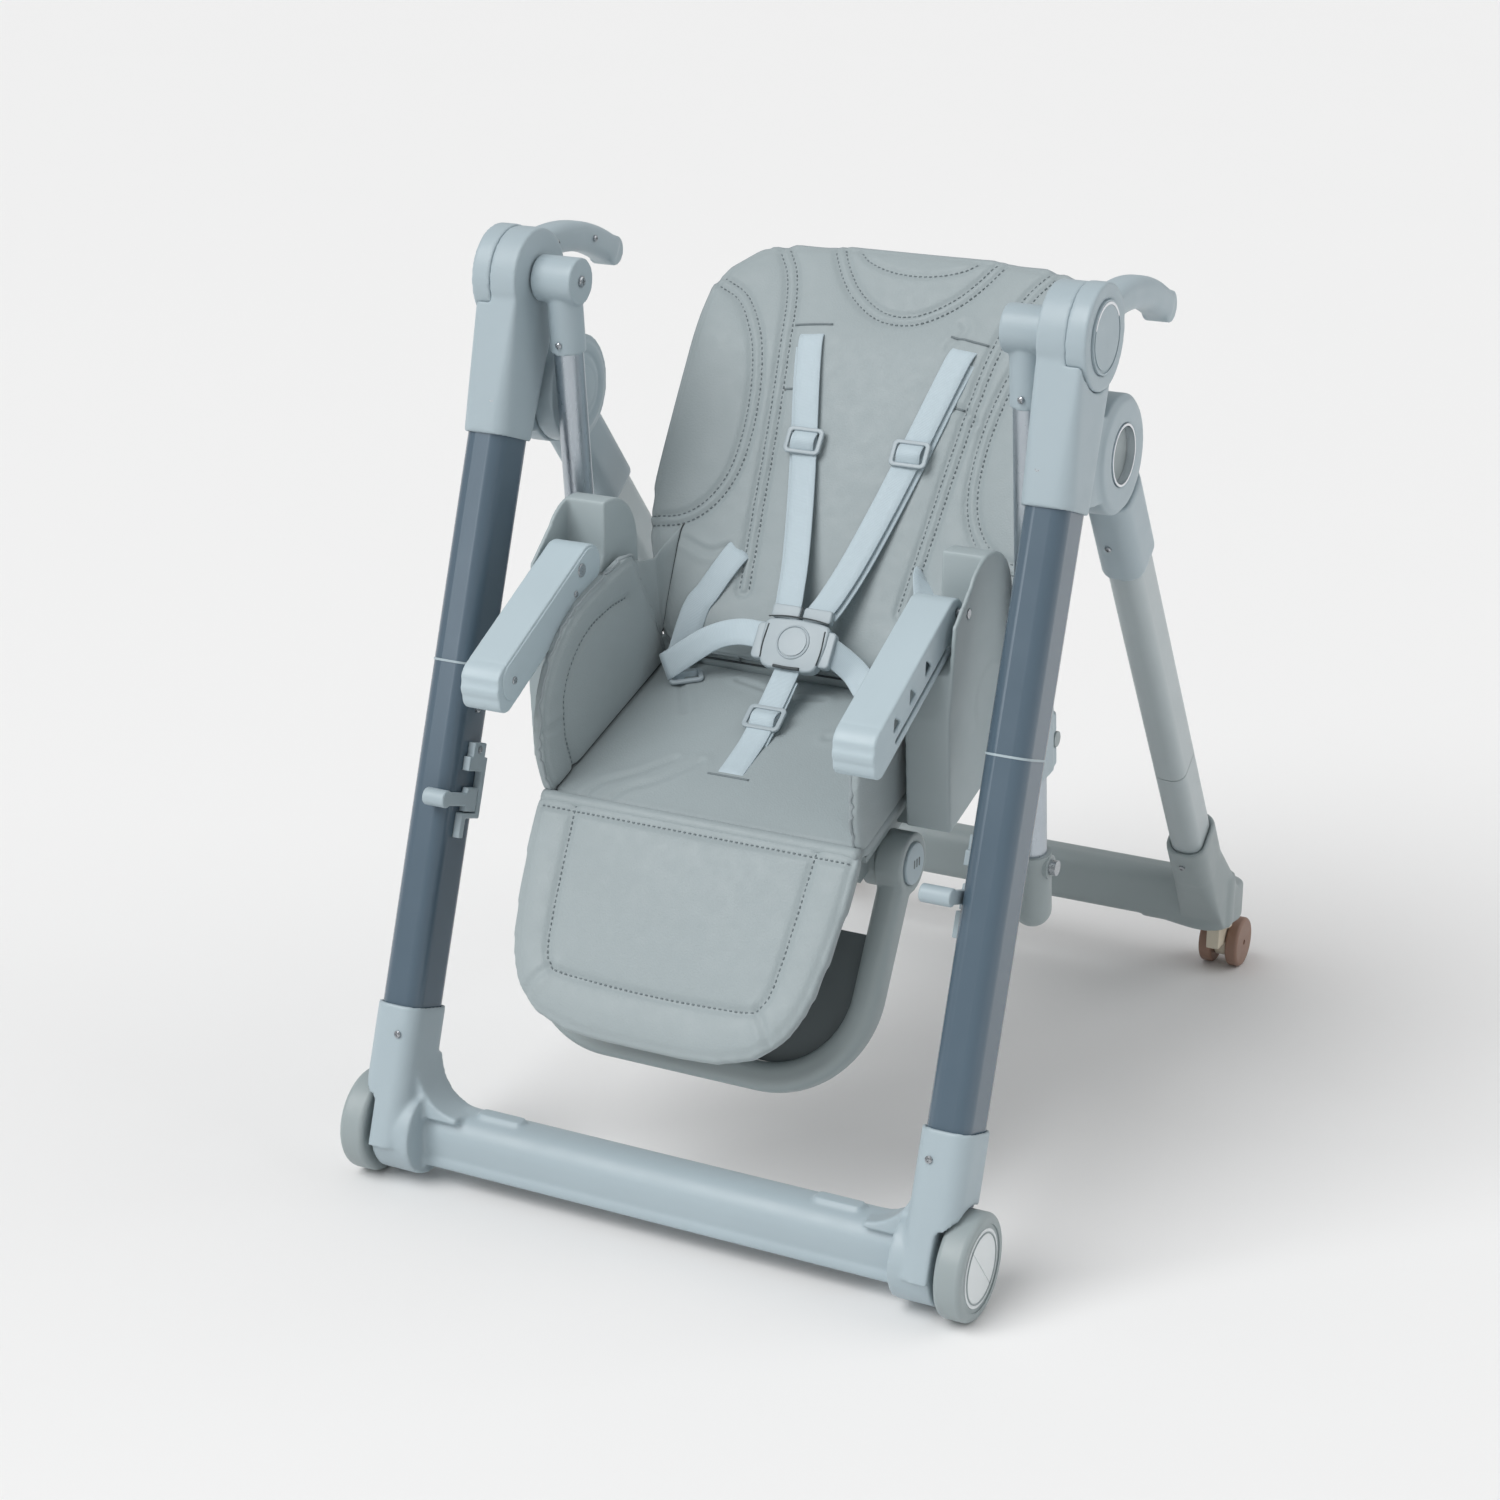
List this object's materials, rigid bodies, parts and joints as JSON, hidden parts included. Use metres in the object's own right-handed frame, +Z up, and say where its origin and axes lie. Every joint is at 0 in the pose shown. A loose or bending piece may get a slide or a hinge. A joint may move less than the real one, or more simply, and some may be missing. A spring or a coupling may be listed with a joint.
{
  "type": "baby high chair",
  "caption": "Folding baby high chair on wheels with a hanging, swinging padded seat, reclining back, leg rest, lift-up armrests and a five-point harness.",
  "frame": {"origin": "middle of the footprint, on the floor", "axes": "+Z up, the chair faces -Y, +X to the seated child's left"},
  "size_m": [0.61, 0.8955, 0.831],
  "materials": {
    "pale_plastic": "fine satin",
    "grey_plastic": "satin",
    "dark_plastic": "matt",
    "slate_tube": "satin powder coat",
    "grey_tube": "satin powder coat",
    "bare_tube": "satin anodised",
    "steel": "zinc plated",
    "bright": "bright plating",
    "cover": "soft grained leatherette",
    "webbing": "woven polyester webbing",
    "castor_block": "satin",
    "castor_wheel": "satin",
    "wheel": "satin",
    "wheel_cap": "gloss"
  },
  "bodies": {
    "front_frame": {"front_crossbar": "pale_plastic", "front_axles": "steel", "front_leg_lowers": "slate_tube", "front_leg_uppers": "slate_tube", "front_leg_spigots": "grey_plastic", "front_leg_rings": "pale_plastic", "leg_cover_left": "pale_plastic", "leg_cover_right": "pale_plastic", "handle_left": "pale_plastic", "handle_right": "pale_plastic", "hub_caps": "pale_plastic", "bright_trims": "bright", "latch_brackets": "pale_plastic", "front_screws": "steel"},
    "fold_button_left": {"fold_button_left": "grey_plastic"},
    "fold_button_right": {"fold_button_right": "grey_plastic"},
    "latch_slider_left": {"latch_slider_left": "pale_plastic"},
    "latch_slider_right": {"latch_slider_right": "pale_plastic"},
    "rear_frame": {"fold_pins": "steel", "rear_hub_left": "pale_plastic", "rear_hub_right": "pale_plastic", "rear_leg_uppers": "grey_tube", "rear_leg_lowers": "grey_tube", "rear_base": "grey_plastic", "rear_screws": "steel"},
    "castor_left": {"castor_block_left": "castor_block"},
    "castor_right": {"castor_block_right": "castor_block"},
    "castor_wheels_left": {"castor_wheels_left": "castor_wheel"},
    "castor_wheels_right": {"castor_wheels_right": "castor_wheel"},
    "wheel_left": {"wheel_rim_left": "wheel", "wheel_tyre_left": "wheel", "wheel_cap_left": "wheel_cap"},
    "wheel_right": {"wheel_rim_right": "wheel", "wheel_tyre_right": "wheel", "wheel_cap_right": "wheel_cap"},
    "swing": {"t_joints": "pale_plastic", "swing_pins": "steel", "hanger_tubes": "bare_tube", "hanger_sleeves": "grey_plastic"},
    "seat": {"sliders": "pale_plastic", "side_brackets": "grey_plastic", "seat_shell": "grey_plastic", "seat_cushion": "cover", "side_wings": "cover", "waist_straps": "webbing", "buckle": "grey_plastic", "armrest_pins": "steel"},
    "buckle_button": {"buckle_button": "pale_plastic"},
    "height_button_left": {"height_button_left": "grey_plastic"},
    "height_button_right": {"height_button_right": "grey_plastic"},
    "backrest": {"back_shell": "grey_plastic", "back_cushion": "cover", "shoulder_straps": "webbing", "strap_adjusters": "grey_plastic"},
    "recline_handle": {"recline_handle": "pale_plastic"},
    "armrest_left": {"armrest_left": "pale_plastic"},
    "armrest_right": {"armrest_right": "pale_plastic"},
    "leg_rest": {"leg_frame": "grey_plastic", "leg_panel": "dark_plastic"},
    "leg_pad": {"leg_pad": "cover"}
  },
  "joints": [
    {"name": "rear_fold", "type": "hinge", "parent": "front_frame", "child": "rear_frame", "pos_m": [0, -0.11275, 0.675], "axis": [1, 0, 0], "range_deg": [-28, 0]},
    {"name": "swing", "type": "hinge", "parent": "front_frame", "child": "swing", "pos_m": [0, -0.17275, 0.786], "axis": [1, 0, 0], "range_deg": [-24, 12]},
    {"name": "seat_height", "type": "slide", "parent": "swing", "child": "seat", "axis": [0, -0.1184, 0.993], "range_m": [-0.05, 0.15]},
    {"name": "back_recline", "type": "hinge", "parent": "seat", "child": "backrest", "pos_m": [0, -0.10075, 0.428], "axis": [1, 0, 0], "range_deg": [0, 20]},
    {"name": "leg_rest", "type": "hinge", "parent": "seat", "child": "leg_rest", "pos_m": [0, -0.26185, 0.3348], "axis": [1, 0, 0], "range_deg": [-55, 0]},
    {"name": "leg_pad_fold", "type": "hinge", "parent": "seat", "child": "leg_pad", "pos_m": [0, -0.33155, 0.3616], "axis": [1, 0, 0], "range_deg": [-55, 0]},
    {"name": "recline_release", "type": "slide", "parent": "backrest", "child": "recline_handle", "axis": [0, 0.5225, 0.8526], "range_m": [0, 0.008], "stiffness_N_per_m": 400, "springref_m": -0.004},
    {"name": "buckle_press", "type": "slide", "parent": "seat", "child": "buckle_button", "axis": [0, -0.829, 0.5592], "range_m": [-0.002, 0], "stiffness_N_per_m": 400, "springref_m": 0.002},
    {"name": "wheel_spin_left", "type": "hinge", "parent": "front_frame", "child": "wheel_left", "pos_m": [-0.2925, -0.40075, 0.047], "axis": [1, 0, 0], "continuous": true},
    {"name": "castor_swivel_left", "type": "hinge", "parent": "rear_frame", "child": "castor_left", "pos_m": [-0.236, 0.39325, 0.06], "axis": [0, 0, 1], "continuous": true},
    {"name": "castor_spin_left", "type": "hinge", "parent": "castor_left", "child": "castor_wheels_left", "pos_m": [-0.236, 0.42125, 0.0265], "axis": [1, 0, 0], "continuous": true},
    {"name": "fold_press_left", "type": "slide", "parent": "front_frame", "child": "fold_button_left", "axis": [1, 0, 0], "range_m": [0, 0.004], "stiffness_N_per_m": 500, "springref_m": -0.002},
    {"name": "latch_slide_left", "type": "slide", "parent": "front_frame", "child": "latch_slider_left", "axis": [0, 0.3148, 0.9492], "range_m": [0, 0.01]},
    {"name": "height_press_left", "type": "slide", "parent": "seat", "child": "height_button_left", "axis": [1, 0, 0], "range_m": [0, 0.0015], "stiffness_N_per_m": 500, "springref_m": -0.002},
    {"name": "armrest_lift_left", "type": "hinge", "parent": "seat", "child": "armrest_left", "pos_m": [-0.176, -0.23775, 0.556], "axis": [1, 0, 0], "range_deg": [-100, 0]},
    {"name": "wheel_spin_right", "type": "hinge", "parent": "front_frame", "child": "wheel_right", "pos_m": [0.2925, -0.40075, 0.047], "axis": [1, 0, 0], "continuous": true},
    {"name": "castor_swivel_right", "type": "hinge", "parent": "rear_frame", "child": "castor_right", "pos_m": [0.236, 0.39325, 0.06], "axis": [0, 0, 1], "continuous": true},
    {"name": "castor_spin_right", "type": "hinge", "parent": "castor_right", "child": "castor_wheels_right", "pos_m": [0.236, 0.42125, 0.0265], "axis": [1, 0, 0], "continuous": true},
    {"name": "fold_press_right", "type": "slide", "parent": "front_frame", "child": "fold_button_right", "axis": [-1, 0, 0], "range_m": [0, 0.004], "stiffness_N_per_m": 500, "springref_m": -0.002},
    {"name": "latch_slide_right", "type": "slide", "parent": "front_frame", "child": "latch_slider_right", "axis": [0, 0.3148, 0.9492], "range_m": [0, 0.01]},
    {"name": "height_press_right", "type": "slide", "parent": "seat", "child": "height_button_right", "axis": [-1, 0, 0], "range_m": [0, 0.0015], "stiffness_N_per_m": 500, "springref_m": -0.002},
    {"name": "armrest_lift_right", "type": "hinge", "parent": "seat", "child": "armrest_right", "pos_m": [0.176, -0.23775, 0.556], "axis": [1, 0, 0], "range_deg": [-100, 0]}
  ],
  "couplings": [
    {"joint": "leg_pad_fold", "follows": "leg_rest", "ratio": 1}
  ]
}
